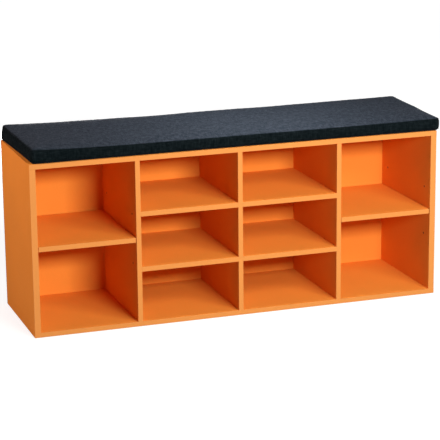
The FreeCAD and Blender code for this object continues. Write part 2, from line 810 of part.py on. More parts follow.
def cushion_outline(inset, height):
    """Closed outline of the cushion at one height: three drawn-in sides, a straight rear, round corners."""
    half_length = number("cushion_length") / 2 - inset
    half_depth = number("cushion_depth") / 2 - inset
    radius = number("cushion_corner")
    draw = number("cushion_draw")
    end_draw = number("cushion_end_draw")
    diagonal = radius * (1 - math.sqrt(0.5))
    middle = Vector(number("cushion_shift"), number("cushion_setback"), number("cushion_floor") + height)

    def point(x, y):
        return middle + Vector(x, y, 0)

    def corner(x, y, along_x_first):
        towards_x = point(x * (half_length - radius), y * half_depth)
        bend = point(x * (half_length - diagonal), y * (half_depth - diagonal))
        towards_y = point(x * half_length, y * (half_depth - radius))
        ends = (towards_x, towards_y) if along_x_first else (towards_y, towards_x)
        return Part.Arc(ends[0], bend, ends[1]).toShape()

    def side(start, bend, end):
        return Part.Arc(start, bend, end).toShape()

    x, y = half_length, half_depth
    edges = [
        side(point(radius - x, -y), point(0, draw - y), point(x - radius, -y)),
        corner(1, -1, True),
        side(point(x, radius - y), point(x - end_draw, 0), point(x, y - radius)),
        corner(1, 1, False),
        Part.LineSegment(point(x - radius, y), point(radius - x, y)).toShape(),
        corner(-1, 1, True),
        side(point(-x, y - radius), point(end_draw - x, 0), point(-x, radius - y)),
        corner(-1, -1, False),
    ]
    return Part.Wire(edges)


def cushion_form(shrink):
    """Crowned cushion form on the base cloth, smaller by shrink on its sides and its top."""
    low = number("cloth_thickness")
    side = number("cushion_side") - shrink
    crown = number("cushion_crown")
    top_round = number("cushion_top_round")
    bottom_round = number("cushion_bottom_round")
    half_depth = number("cushion_depth") / 2
    rings = []
    for degrees in (0, 30, 60, 90):
        angle = math.radians(degrees)
        inset = bottom_round * (1 - math.sin(angle))
        rings.append((inset, low + bottom_round * (1 - math.cos(angle))))
    for degrees in (0, 30, 60):
        angle = math.radians(degrees)
        inset = top_round * (1 - math.cos(angle))
        rings.append((inset, side - top_round + top_round * math.sin(angle)))
    for share in CROWN_RINGS:
        rise = crown * (1 - (1 - share) ** 2)
        rings.append((share * half_depth, side + rise))
    wires = [cushion_outline(inset + shrink, height) for inset, height in rings]
    return Part.makeLoft(wires, True, True)


def make_cushion():
    """Cloth cover with crown and drawn-in sides, its base cloth and the foam core."""
    cloth = number("cloth_thickness")
    base = Part.Face(cushion_outline(number("cushion_bottom_round"), 0)).extrude(Vector(0, 0, cloth))
    forms = (
        ("cushion_cover", cushion_form(0).cut(cushion_form(cloth))),
        ("cushion_base_cloth", base),
        ("cushion_foam", cushion_form(cloth + number("foam_play"))),
    )
    for name, shape in forms:
        feature = doc.addObject("Part::Feature", name)
        feature.Label = name
        feature.Shape = shape.Solids[0]
        subparts.append(feature)


def make_zip():
    """Zip in the cushion's rear side: tape, teeth, stops, slider and pull."""
    left = "cushion_shift - zip_length / 2"
    tape = box_body("zip_tape", "YZ_Plane", "tape_thickness", "tape_height", "zip_length + 2 * zip_margin")
    place(tape, f"{left} - zip_margin", "cushion_back", "zip_height - tape_height / 2")
    teeth = box_body("zip_teeth", "YZ_Plane", "teeth_thickness", "teeth_height", "zip_length")
    place(teeth, left, "teeth_back", "zip_height - teeth_height / 2")
    for side, x in (("left", f"{left} - stop_length"), ("right", "cushion_shift + zip_length / 2")):
        stop = box_body(f"zip_{side}_stop", "YZ_Plane", "slider_depth", "slider_height", "stop_length")
        place(stop, x, "teeth_back", "zip_height - slider_height / 2")
    make_slider()
    make_pull()


def make_slider():
    """Channel that runs over the teeth, with two ears and the pivot of the pull."""
    slider = new_body("zip_slider")
    wall, play, height, depth = "slider_wall", "slider_play", "slider_height", "slider_depth"
    inner = f"{depth} - {wall}"
    section = new_sketch(slider, "YZ_Plane")
    draw_outline(
        section,
        [
            (play, "0"),
            (depth, "0"),
            (depth, height),
            (play, height),
            (play, f"{height} - {wall}"),
            (inner, f"{height} - {wall}"),
            (inner, wall),
            (play, wall),
        ],
    )
    pad(slider, section, "slider_length")
    ear_start = f"{height} / 2 - ear_gap / 2 - ear_wall"
    ear_half = "pivot_radius + eye_wall"
    middle = "slider_length / 2"
    for foot in (ear_start, f"{height} / 2 + ear_gap / 2"):
        ear = new_sketch(slider, "XY_Plane", lift=foot)
        draw_outline(
            ear,
            [
                (f"{middle} - ({ear_half})", inner),
                (f"{middle} + {ear_half}", inner),
                (f"{middle} + {ear_half}", f"{depth} + pivot_rise + {ear_half}"),
                (f"{middle} - ({ear_half})", f"{depth} + pivot_rise + {ear_half}"),
            ],
        )
        pad(slider, ear, "ear_wall")
    pivot = new_sketch(slider, "XY_Plane", lift=ear_start)
    draw_circles(pivot, [(middle, f"{depth} + pivot_rise")], "pivot_radius")
    pad(slider, pivot, "ear_gap + 2 * ear_wall")
    place(slider, "slider_x", "teeth_back", f"zip_height - {height} / 2")


def make_pull():
    """Pull with an eye round the pivot and a flat tab that lies along the zip towards -X."""
    pull = new_body("zip_pull")
    eye_height = "ear_gap - 2 * pull_side_play"
    bore = "pivot_radius + pivot_play"
    eye = new_sketch(pull, "XY_Plane", lift=f"-({eye_height}) / 2")
    draw_circles(eye, [("0", "0")], f"{bore} + eye_wall")
    pad(pull, eye, eye_height)
    neck_end = f"{bore} + eye_wall + pull_thickness"
    neck = new_sketch(pull, "XY_Plane", lift=f"-({eye_height}) / 2")
    draw_outline(
        neck,
        [
            (f"-({neck_end}) - pull_thickness", "-pull_thickness / 2"),
            (f"-({bore})", "-pull_thickness / 2"),
            (f"-({bore})", "pull_thickness / 2"),
            (f"-({neck_end}) - pull_thickness", "pull_thickness / 2"),
        ],
    )
    pad(pull, neck, eye_height)
    tab = new_sketch(pull, "XY_Plane", lift="-pull_width / 2")
    draw_outline(
        tab,
        [
            ("-pull_length", "-pull_thickness / 2"),
            (f"-({neck_end})", "-pull_thickness / 2"),
            (f"-({neck_end})", "pull_thickness / 2"),
            ("-pull_length", "pull_thickness / 2"),
        ],
    )
    pad(pull, tab, "pull_width")
    drill(pull, "XY_Plane", [("0", "0")], bore, eye_height, lift=f"({eye_height}) / 2")
    place(pull, "pivot_x", "pivot_y", "zip_height")


def check_document():
    """Stops if any object failed or any piece is empty or not valid."""
    for thing in doc.Objects:
        if "Invalid" in thing.State or "Error" in thing.State:
            raise RuntimeError(f"{thing.Name} failed: {thing.State}")
    for piece in subparts:
        if piece.Shape.isNull() or not piece.Shape.isValid() or not piece.Shape.Solids:
            raise RuntimeError(f"{piece.Label} has no valid solid")


def export():
    """Writes each piece to its own file and prints its size."""
    os.makedirs("parts", exist_ok=True)
    for piece in subparts:
        piece.Shape.exportStep(f"parts/{piece.Label}.step")
        box = piece.Shape.BoundBox
        print(
            f"{piece.Label}: {len(piece.Shape.Solids)} solids, {piece.Shape.Volume:.0f} mm3, "
            f"x {box.XMin:.2f} to {box.XMax:.2f}, y {box.YMin:.2f} to {box.YMax:.2f}, "
            f"z {box.ZMin:.2f} to {box.ZMax:.2f}"
        )


fill_sheet()
make_top_and_bottom()
make_uprights()
make_back()
make_screws()
make_fixed_shelves()
make_shelf_fittings()
make_adjustable_shelves()
make_pins()
make_cushion()
make_zip()
doc.recompute()
check_document()
export()
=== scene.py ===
"""Shoe storage bench with a seat cushion: finishes, sewn cushion, zip and studio round the CAD frame.

Everything is in metres in the frame of the CAD model: +X right, +Y to the back, +Z up.
"""

import math

import bmesh
import bpy
import numpy as np
from bpy.props import FloatProperty, FloatVectorProperty, IntProperty, PointerProperty
from mathutils import Matrix, Vector, noise
from mathutils.bvhtree import BVHTree
from mathutils.kdtree import KDTree


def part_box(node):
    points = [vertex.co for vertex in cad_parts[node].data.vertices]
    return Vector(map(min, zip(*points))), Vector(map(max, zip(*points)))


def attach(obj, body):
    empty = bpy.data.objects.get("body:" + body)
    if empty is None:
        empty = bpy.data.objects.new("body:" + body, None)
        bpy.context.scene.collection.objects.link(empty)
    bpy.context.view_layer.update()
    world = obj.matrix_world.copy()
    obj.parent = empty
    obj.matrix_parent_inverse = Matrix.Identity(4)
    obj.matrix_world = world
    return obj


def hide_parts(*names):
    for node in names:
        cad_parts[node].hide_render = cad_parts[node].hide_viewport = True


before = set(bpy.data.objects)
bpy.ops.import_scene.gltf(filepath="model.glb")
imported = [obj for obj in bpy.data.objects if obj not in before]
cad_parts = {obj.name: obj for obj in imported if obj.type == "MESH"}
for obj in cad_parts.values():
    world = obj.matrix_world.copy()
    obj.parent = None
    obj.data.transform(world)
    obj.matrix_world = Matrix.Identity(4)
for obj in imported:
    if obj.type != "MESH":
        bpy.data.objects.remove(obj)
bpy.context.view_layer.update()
COVER_LOW, COVER_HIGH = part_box("cushion_cover")
BASE_LOW, BASE_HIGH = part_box("cushion_base_cloth")
TAPE_LOW, TAPE_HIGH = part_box("zip_tape")
TEETH_LOW, TEETH_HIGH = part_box("zip_teeth")

bl_info = {
    "name": "Shoe bench",
    "version": (1, 0, 0),
    "blender": (4, 5, 0),
    "location": "View3D > Sidebar > Bench",
    "description": "Board finishes, sewn seat cushion, zip and studio of a shoe storage bench",
    "category": "Object",
}

# Sockets of a Mix node that mixes colours.
MIX_SHARE, MIX_FIRST, MIX_SECOND, MIX_RESULT = 0, 6, 7, 2

# Specular level of the foil.
FOIL_GLOSS = 0.03

# Name, place, aim, width and height of each lamp. Its power is a setting.
LAMPS = (
    ("key", (0.24, -2.85, 1.25), (0.0, 0.0, 0.25), 0.82, 0.34),
    ("right", (0.82, -1.75, 1.38), (0.1, 0.0, 0.25), 0.7, 0.5),
    ("top", (0.07, -0.12, 1.25), (0.07, -0.1, 0.45), 0.3, 0.3),
    ("side", (-1.7, 0.0, 1.05), (-0.52, 0.0, 0.25), 0.4, 0.4),
    ("rear", (0.0, 2.3, 0.3), (0.0, 0.15, 0.22), 0.9, 0.24),
    ("end", (2.2, 0.05, 0.3), (0.52, 0.0, 0.22), 0.5, 0.24),
)


# Kinds of settings

def metres(name, description, default, **limits):
    """A length in metres."""
    return FloatProperty(name=name, description=description, default=default, unit="LENGTH", **limits)


def rgb(name, description, default):
    """A colour."""
    return FloatVectorProperty(name=name, description=description, default=default, subtype="COLOR")


def fraction(name, description, default, **limits):
    """A share from 0 to 1."""
    return FloatProperty(name=name, description=description, default=default, subtype="FACTOR", **limits)


def degrees(name, description, angle):
    """An angle, with its default given in degrees."""
    default = math.radians(angle)
    return FloatProperty(name=name, description=description, default=default, subtype="ANGLE")


def watts(name, description, default):
    """The power of a lamp in watts."""
    return FloatProperty(name=name, description=description, default=default, subtype="POWER")


# Settings that a user would change

class BenchBoardSettings(bpy.types.PropertyGroup):
    """Finish of the boards, their edge bands and the back panel."""

    foil: rgb("Foil", "Colour of the foil on the boards", (0.88, 0.292, 0.043))
    # Painted shade: the edge band is darker than the foil to offset the stronger light on the front edges.
    band: rgb("Edge band", "Colour of the bands on the front edges", (0.68, 0.245, 0.053))
    core: rgb("Board core", "Colour of the raw chipboard inside drilled holes", (0.20, 0.105, 0.045))
    fibre: rgb("Raw back", "Colour of the raw fibre board behind", (0.24, 0.135, 0.065))
    roughness: fraction("Roughness", "Mean roughness of the foil", 0.75, min=0.05, max=1)
    grain: metres("Grain", "Width of a grain of the foil's fine texture", 0.0009, min=0.0001)
    cover_radius: metres(
        "Cover foil radius", "Radius of the round foils over the screws in the top panel", 0.0065
    )
    cover_thickness: metres("Cover foil thickness", "Thickness of the round foils over the screws", 0.00025)


class BenchCushionSettings(bpy.types.PropertyGroup):
    """Form and cloth of the seat cushion."""

    corner: metres("Corner", "Corner radius seen from above", 0.009)
    top_round: metres("Top rounding", "Rounding of the upper edge before the cloth smooths it", 0.002)
    bottom_round: metres("Bottom rounding", "Rounding of the lower edge", 0.005)
    crown: metres("Crown", "Rise of the middle above the sides", 0.0045)
    front_draw: metres("Front draw", "How far the front is drawn in at its middle", 0.003)
    end_draw: metres("End draw", "How far the ends are drawn in at their middle", 0.0015)
    start_gap: metres("Start gap", "How much smaller the form is before it swells", 0.0005)
    rear_reach: metres(
        "Rear reach", "How far the ends stand out further at the rear than at the front", 0.008
    )
    edge_rise: metres(
        "Edge rise", "How much higher the upper edge starts, because remeshing rounds it off", 0.0024
    )
    left_lean: fraction("Left lean", "Share of the rear reach that the left end loses towards its top", 0.8)
    end_lift: metres("End lift", "How far the ends stand higher than the middle", 0.0018)
    left_lift: metres("Left lift", "How far the left end stands higher still", 0.0045)
    rear_lift: metres("Rear lift", "How far the rear stands higher than the front", 0.0028)
    voxel: metres("Voxel", "Mesh width of the simulated cloth", 0.0056, min=0.004)
    pressure: FloatProperty(name="Pressure", description="Pressure of the filling on the cloth", default=4)
    steps: IntProperty(name="Steps", description="Frames of the cloth simulation", default=20, min=2)
    swell: metres("Swell", "Most that a point of the cloth may move", 0.0035)
    groove: metres("Seam groove", "Depth of the groove along a seam", 0.0006)
    pucker: metres("Puckers", "Height of the puckers beside a seam", 0.0002)
    dark_yarn: rgb("Dark yarn", "Darkest yarn of the cloth on the sides", (0.0016, 0.0034, 0.004))
    light_yarn: rgb("Light yarn", "Lightest yarn of the cloth on the sides", (0.0095, 0.0140, 0.0155))
    # Painted sheen: the seat yarns are much lighter than the side yarns and stand in for the light the seat
    # catches from above and behind.
    painted_sheen_seat_dark_yarn: rgb(
        "Dark seat yarn", "Darkest yarn of the mixed cloth on the seat", (0.0147, 0.0214, 0.0288)
    )
    painted_sheen_seat_light_yarn: rgb(
        "Light seat yarn", "Lightest yarn of the mixed cloth on the seat", (0.0576, 0.0690, 0.0895)
    )
    sheen: rgb("Sheen", "Tint of the fibres at the surface, seen at a low angle", (0.76, 0.80, 1.0))
    yarn_pitch: metres("Yarn pitch", "Distance from yarn to yarn", 0.0011, min=0.0002)
    foam: rgb("Foam", "Colour of the foam core", (0.72, 0.64, 0.40))


class BenchZipSettings(bpy.types.PropertyGroup):
    """Zip in the rear side of the cushion."""

    tooth_pitch: metres("Tooth pitch", "Distance from tooth to tooth on one tape", 0.0025, min=0.001)
    stitch_pitch: metres("Stitch pitch", "Distance from stitch to stitch", 0.0032, min=0.001)
    thread: metres("Thread", "Thickness of the sewing thread", 0.0005)
    tape: rgb("Tape", "Colour of the woven tape", (0.012, 0.013, 0.016))


class BenchStageSettings(bpy.types.PropertyGroup):
    """Camera, lamps and floor."""

    camera_place: FloatVectorProperty(
        name="Camera",
        description="Place of the camera",
        subtype="TRANSLATION",
        unit="LENGTH",
        default=(-1.4523, -4.2555, 1.3855),
    )
    camera_yaw: degrees("Yaw", "Turn of the camera to the right of straight back", 18.819)
    camera_pitch: degrees("Pitch", "Tilt of the camera below the horizon", 14.715)
    camera_roll: degrees("Roll", "Roll of the camera", -0.612)
    lens: FloatProperty(
        name="Lens", description="Focal length in millimetres", subtype="DISTANCE_CAMERA", default=151.6
    )
    key_power: watts("Key light", "Power of the lamp in front", 79)
    right_power: watts("Right light", "Power of the lamp in front on the right", 22)
    top_power: watts("Top light", "Power of the lamp above", 1.08)
    top_spread: degrees(
        "Top spread", "Spread of the lamp above, which lights the middle of the seat most", 65
    )
    side_power: watts("Side light", "Power of the lamp on the left", 13.6)
    side_tint: rgb("Side tint", "Colour of the lamp on the left, a little warm", (1.0, 0.79, 0.73))
    rear_power: watts("Rear light", "Power of the low lamp behind", 42)
    end_power: watts("Right end light", "Power of the low lamp beside the right end", 16)
    ambient: FloatProperty(name="Ambient", description="Light from all round", default=0.02, min=0)
    floor: rgb("Floor", "Colour of the floor", (0.3, 0.3, 0.3))
    floor_lift: FloatProperty(
        name="Floor lift",
        description="Brightness added to the floor near the bench, where it is looked at",
        default=0.8,
        min=0,
        max=1,
    )


# Helpers for node materials

def add_node(tree, kind, inputs=None, **settings):
    """A new node; inputs holds a value or a socket to link for each of its sockets."""
    node = tree.nodes.new(kind)
    for name, value in settings.items():
        setattr(node, name, value)
    for key, value in (inputs or {}).items():
        if isinstance(value, bpy.types.NodeSocket):
            tree.links.new(value, node.inputs[key])
        else:
            node.inputs[key].default_value = value
    return node


def calculate(operation, first, second=0.0):
    """Result of a sum on a socket and, where it takes two, a value or another socket."""
    inputs = {0: first, 1: second}
    return add_node(first.id_data, "ShaderNodeMath", inputs, operation=operation).outputs[0]


def product(first, second):
    """Two values multiplied."""
    return calculate("MULTIPLY", first, second)


def total(first, second):
    """Two values added."""
    return calculate("ADD", first, second)


def weighted(share, first, second):
    """Share of a first value and the rest of a second one, added."""
    return total(product(first, share), product(second, 1 - share))


def waves(place, rate):
    """Sine waves along a coordinate, by so many radians to a metre."""
    return calculate("SINE", product(place, rate))


def vector_result(operation, first, second=(0, 0, 0)):
    """Result of a sum on the vector of a socket and, where it takes two, another."""
    inputs = {0: first, 1: second}
    return add_node(first.id_data, "ShaderNodeVectorMath", inputs, operation=operation).outputs[0]


def stretched(place, scale):
    """Coordinates multiplied along each axis."""
    return vector_result("MULTIPLY", place, scale)


def axes(vector):
    """X, Y and Z of a vector."""
    return add_node(vector.id_data, "ShaderNodeSeparateXYZ", {0: vector}).outputs


def coordinates(tree):
    """Texture coordinates of the piece itself; their node also gives the other kinds."""
    return add_node(tree, "ShaderNodeTexCoord").outputs["Object"]


def blend(share, first, second):
    """Colour between two colours."""
    inputs = {MIX_SHARE: share, MIX_FIRST: first, MIX_SECOND: second}
    return add_node(share.id_data, "ShaderNodeMix", inputs, data_type="RGBA").outputs[MIX_RESULT]


def shaded(share, colour, first, second):
    """A colour made darker or lighter, from its first factor to its second one."""
    return blend(share, opaque(colour, first), opaque(colour, second))


def between(value, low, high):
    """A value from 0 to 1 stretched to the range from low to high."""
    inputs = {"Value": value, "To Min": low, "To Max": high}
    return add_node(value.id_data, "ShaderNodeMapRange", inputs).outputs["Result"]


def step_between(value, start, end):
    """0 below start, 1 above end and a soft step between them."""
    inputs = {"Value": value, "From Min": start, "From Max": end}
    node = add_node(value.id_data, "ShaderNodeMapRange", inputs, interpolation_type="SMOOTHSTEP")
    return node.outputs["Result"]


def clouds(place, scale, detail=2.0):
    """Soft noise from 0 to 1."""
    inputs = {"Vector": place, "Scale": scale, "Detail": detail}
    return add_node(place.id_data, "ShaderNodeTexNoise", inputs).outputs["Fac"]


def streaks(place, scale, detail=3.0):
    """Soft noise with a scale of its own along each axis."""
    return clouds(stretched(place, scale), 1, detail)


def cells(place, scale):
    """Distance to the nearest point of a scattered set."""
    inputs = {"Vector": place, "Scale": scale}
    return add_node(place.id_data, "ShaderNodeTexVoronoi", inputs).outputs["Distance"]


def raised(height, depth, strength):
    """Normal of a surface raised by a height from 0 to 1 times depth."""
    inputs = {"Height": height, "Distance": depth, "Strength": strength}
    return add_node(height.id_data, "ShaderNodeBump", inputs).outputs["Normal"]


def opaque(colour, factor=1.0):
    """Four numbers of a colour that is made darker or lighter."""
    return (*(part * factor for part in colour), 1.0)


def new_finish(name, **values):
    """A node material with values on its surface, and coordinates of the piece.

    In the names of the surface's sockets _ stands for a space.
    """
    material = bpy.data.materials.new(name)
    material.use_nodes = True
    tree = material.node_tree
    surface = tree.nodes["Principled BSDF"].inputs
    for socket, value in values.items():
        surface[socket.replace("_", " ")].default_value = value
    return material, coordinates(tree)


def finished(material, colour, rough, height, depth, strength):
    """The material with its colour, its uneven gloss and its relief.

    rough holds a value from 0 to 1 and the roughness at either end of it, or is None where even.
    """
    tree = material.node_tree
    surface = tree.nodes["Principled BSDF"].inputs
    tree.links.new(colour, surface["Base Color"])
    tree.links.new(raised(height, depth, strength), surface["Normal"])
    if rough:
        tree.links.new(between(*rough), surface["Roughness"])
    return material


# Finishes

def inside_board(place):
    """1 inside drilled holes, where the core shows, and 0 on a board's outer faces."""
    half, inner_half = 0.5, 0.4955
    centred = vector_result("SUBTRACT", place.node.outputs["Generated"], (half, half, half))
    x, y, z = axes(vector_result("ABSOLUTE", centred))
    widest = calculate("MAXIMUM", calculate("MAXIMUM", x, y), z)
    return calculate("LESS_THAN", widest, inner_half)


def chipboard(place, colour):
    """Colour of raw chipboard: small flakes from pale to dark."""
    flakes = cells(stretched(place, (1.0, 1.6, 1.0)), scale=420)
    return shaded(flakes, colour, 1.6, 0.5)


def foil_colour(place, colour):
    """Foil colour with faint clouds and a faint fleck."""
    cloud = clouds(place, scale=7, detail=3)
    fleck = clouds(place, scale=260)
    return shaded(weighted(0.7, cloud, fleck), colour, 0.93, 1.07)


def foil_finish(name, settings, is_drilled=False):
    """Satin orange foil; on drilled boards the raw core shows in the holes."""
    material, place = new_finish(name, Specular_IOR_Level=FOIL_GLOSS)
    colour = foil_colour(place, settings.foil)
    if is_drilled:
        colour = blend(inside_board(place), colour, chipboard(place, settings.core))
    haze = clouds(place, scale=18, detail=3)
    rough = (haze, settings.roughness - 0.05, settings.roughness + 0.06)
    grain = clouds(place, scale=1 / settings.grain)
    return finished(material, colour, rough, height=grain, depth=0.00006, strength=0.5)


def band_finish(settings):
    """Edge band with painted shade: darker and a little greyer than the foil, to offset the stronger light
    on the front edges, with faint lines and specks.
    """
    material, place = new_finish("edge_band", Specular_IOR_Level=0.15)
    lines = streaks(place, (30, 700, 30), detail=2)
    speck = clouds(place, scale=190)
    # The band colour is painted shade, darker than the foil because the front edges get more light.
    colour = shaded(weighted(0.4, lines, speck), settings.band, 0.94, 1.04)
    rough = (clouds(place, scale=40), settings.roughness - 0.12, settings.roughness)
    grain = clouds(place, scale=900)
    return finished(material, colour, rough, height=grain, depth=0.00004, strength=0.5)


def back_finish(settings):
    """Thin fibre board: foil on the inner face, raw with a sieve pattern behind."""
    inner_share, sieve_rate, sieve_height, raw_roughness = 0.02, 2600, 0.6, 0.85
    material, place = new_finish("back_board", Specular_IOR_Level=FOIL_GLOSS)
    inward = axes(place.node.outputs["Generated"])[1]
    is_raw = calculate("GREATER_THAN", inward, inner_share)
    fibres = streaks(place, (90, 90, 260), detail=4)
    flecks = total(cells(place, scale=240), 0.5)
    raw = shaded(product(fibres, flecks), settings.fibre, 1.25, 0.6)
    colour = blend(is_raw, foil_colour(place, settings.foil), raw)
    x, _, z = axes(place)
    wires = calculate("MAXIMUM", waves(x, sieve_rate), waves(z, sieve_rate))
    sieve = product(product(wires, is_raw), sieve_height)
    height = total(sieve, clouds(place, scale=900))
    rough = (is_raw, settings.roughness, raw_roughness)
    return finished(material, colour, rough, height, depth=0.00008, strength=0.6)


def metal_finish(name, colour, roughness, scratch_scale):
    """Plated or cast metal with uneven gloss and fine marks."""
    material, place = new_finish(name, Metallic=1.0)
    haze = clouds(place, scale=160, detail=3)
    marks = clouds(stretched(place, (1, 6, 6)), scratch_scale, detail=3)
    colour = shaded(haze, colour, 0.85, 1.08)
    rough = (haze, roughness - 0.08, roughness + 0.12)
    return finished(material, colour, rough, height=marks, depth=0.00003, strength=0.6)


def dowel_finish():
    """Raw beech with its grain along the dowel and small pores."""
    pale, dark = opaque((0.62, 0.40, 0.20)), opaque((0.40, 0.23, 0.10))
    material, place = new_finish("dowel_beech")
    colour = blend(streaks(place, (60, 900, 900)), pale, dark)
    pores = streaks(place, (400, 3000, 3000), detail=1)
    return finished(material, colour, (pores, 0.6, 0.85), height=pores, depth=0.00008, strength=0.7)


def weave(place, pitch):
    """Height of a plain weave on the top, front and ends of the cushion."""
    x, y, z = axes(place)
    facing = calculate("ABSOLUTE", axes(place.node.outputs["Normal"])[0])
    is_end = calculate("GREATER_THAN", facing, 0.7)
    along = total(x, product(is_end, calculate("SUBTRACT", y, x)))
    across = total(z, product(y, between(is_end, 1, 0)))
    warp = waves(along, math.pi / pitch)
    weft = waves(across, math.pi / pitch)
    is_over = calculate("GREATER_THAN", product(warp, weft), 0.0)
    warp = calculate("ABSOLUTE", warp)
    weft = calculate("ABSOLUTE", weft)
    return total(warp, product(is_over, calculate("SUBTRACT", weft, warp)))


def new_cloth(name, settings, **values):
    """A node material with the faint gloss and sheen of the cushion's cloth, and coordinates."""
    tint = opaque(settings.sheen)
    return new_finish(name, Specular_IOR_Level=0.004, Sheen_Weight=0.03, Sheen_Tint=tint, **values)


def cloth_finish(settings):
    """Mixed-yarn cloth in plain weave, nearly black on the sides, with painted sheen that makes it slate on
    the seat.
    """
    material, place = new_cloth("cushion_cloth", settings, Sheen_Roughness=0.3)
    along = streaks(place, (70, 650, 650))
    across = streaks(place, (650, 70, 70))
    yarns = product(total(along, across), 0.5)
    mottle = step_between(streaks(place, (130, 80, 130)), 0.36, 0.64)
    share = product(step_between(yarns, 0.34, 0.68), between(mottle, 0.6, 1.1))
    side = blend(share, opaque(settings.dark_yarn), opaque(settings.light_yarn))
    # Painted sheen: these lighter seat yarns stand in for light on the seat from above and behind.
    seat = blend(share, opaque(settings.painted_sheen_seat_dark_yarn), opaque(settings.painted_sheen_seat_light_yarn))
    upward = axes(place.node.outputs["Normal"])[2]
    # Upward faces take the painted-sheen seat colour; the sides and the rounded upper edge keep the nearly
    # black cloth.
    colour = blend(step_between(upward, 0.62, 0.965), side, seat)
    height = total(weave(place, settings.yarn_pitch), product(yarns, 0.5))
    return finished(material, colour, (yarns, 0.7, 0.95), height, depth=0.00022, strength=0.7)


def seam_finish(settings):
    """Folded cloth edge and thread in a seam."""
    shade = 0.7
    material, place = new_cloth("cushion_seam", settings, Roughness=0.9)
    twist = clouds(place, scale=900)
    colour = blend(twist, opaque(settings.dark_yarn, shade), opaque(settings.light_yarn, shade))
    return finished(material, colour, None, height=twist, depth=0.0002, strength=0.7)


def base_cloth_finish():
    """Black non-woven cloth with pressed points in rows and loose fibres."""
    point_rate = 2100
    dark, light = opaque((0.010, 0.010, 0.012)), opaque((0.030, 0.030, 0.034))
    material, place = new_finish("base_cloth", Specular_IOR_Level=0.06)
    x, y, _ = axes(place)
    rows = product(waves(x, point_rate), waves(y, point_rate))
    points = step_between(rows, 0.25, 0.6)
    height = calculate("SUBTRACT", clouds(place, scale=700, detail=4), points)
    colour = blend(height, dark, light)
    return finished(material, colour, (points, 0.85, 0.55), height, depth=0.0002, strength=0.7)


def foam_finish(settings):
    """Cut foam with open pores."""
    material, place = new_finish("cushion_foam")
    pores = cells(place, scale=900)
    cloud = clouds(place, scale=30, detail=3)
    colour = shaded(product(pores, cloud), settings.foam, 1.05, 0.6)
    return finished(material, colour, (pores, 0.8, 0.95), height=pores, depth=0.0005, strength=0.8)


def tape_finish(settings):
    """Woven zip tape with a fine twill."""
    twill_rate = 5200
    material, place = new_finish("zip_tape", Specular_IOR_Level=0.2)
    x, _, z = axes(place)
    twill = calculate("ABSOLUTE", waves(total(x, z), twill_rate))
    colour = shaded(twill, settings.tape, 0.6, 1.5)
    return finished(material, colour, (twill, 0.8, 0.65), height=twill, depth=0.00012, strength=0.7)


def lacquer_finish(name, colour, roughness):
    """Black nylon or lacquered metal with faint marks."""
    material, place = new_finish(name)
    haze = clouds(place, scale=300, detail=3)
    marks = clouds(place, scale=2200)
    colour = shaded(haze, colour, 0.7, 1.5)
    rough = (haze, roughness - 0.06, roughness + 0.1)
    return finished(material, colour, rough, height=marks, depth=0.00002, strength=0.5)


def finish_slot(slot, material):
    """Gives all CAD nodes of one material slot their finish."""
    found = 0
    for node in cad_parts.values():
        for holder in node.material_slots:
            if holder.material and holder.material.name == slot:
                holder.material = material
                found += 1
    if not found:
        raise RuntimeError(f"no CAD node has the material slot {slot}")


# Meshes

def new_object(name, data):
    """An object in the scene."""
    added = bpy.data.objects.new(name, data)
    bpy.context.scene.collection.objects.link(added)
    return added


def new_piece(name, mesh, material, body):
    """A piece of the bench with its finish and the body it rides on."""
    piece = new_object(name, mesh)
    mesh.materials.clear()
    mesh.materials.append(material)
    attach(piece, body)
    return piece


def mesh_from(name, points, faces, smooth=True):
    """A mesh with all its faces turned outwards."""
    mesh = bpy.data.meshes.new(name)
    mesh.from_pydata([tuple(point) for point in points], [], faces)
    shape = bmesh.new()
    shape.from_mesh(mesh)
    bmesh.ops.recalc_face_normals(shape, faces=shape.faces)
    shape.to_mesh(mesh)
    shape.free()
    mesh.polygons.foreach_set("use_smooth", [smooth] * len(mesh.polygons))
    return mesh


def points_of(mesh, key="co"):
    """Points of a mesh, or their normals, as rows of numbers."""
    flat = np.empty(len(mesh.vertices) * 3, np.float32)
    mesh.vertices.foreach_get(key, flat)
    return flat.reshape(-1, 3).astype(float)


def move_points(mesh, points):
    """Puts the points of a mesh at new places."""
    mesh.vertices.foreach_set("co", points.astype(np.float32).ravel())
    mesh.update()


def with_modifier(mesh, kind, **settings):
    """The mesh with one modifier applied."""
    carrier = new_object("carrier", mesh)
    modifier = carrier.modifiers.new(kind, kind)
    for name, value in settings.items():
        setattr(modifier, name, value)
    evaluated = carrier.evaluated_get(bpy.context.evaluated_depsgraph_get())
    result = bpy.data.meshes.new_from_object(evaluated)
    bpy.data.objects.remove(carrier)
    bpy.data.meshes.remove(mesh)
    return result


def bridge(rings, is_loop=False):
    """Points and faces of a skin through rings of equally many points, with flat ends or as a loop."""
    count = len(rings[0])
    points = [point for ring in rings for point in ring]
    faces = []
    for level in range(len(rings) if is_loop else len(rings) - 1):
        start = level * count
        above = (level + 1) % len(rings) * count
        for index in range(count):
            following = (index + 1) % count
            faces.append((start + index, start + following, above + following, above + index))
    if not is_loop:
        faces.append(tuple(range(count)))
        faces.append(tuple(range(len(points) - count, len(points))))
    return points, faces


def joined(name, bodies):
    """One mesh of many small closed bodies, each given by its rings."""
    points, faces = [], []
    for rings in bodies:
        body_points, body_faces = bridge(rings)
        faces += [tuple(corner + len(points) for corner in face) for face in body_faces]
        points += body_points
    return mesh_from(name, points, faces, smooth=False)


def circle(sides):
    """Cosine and sine of the turns to the points of a circle."""
    turns = [2 * math.pi * side / sides for side in range(sides)]
    return [(math.cos(turn), math.sin(turn)) for turn in turns]


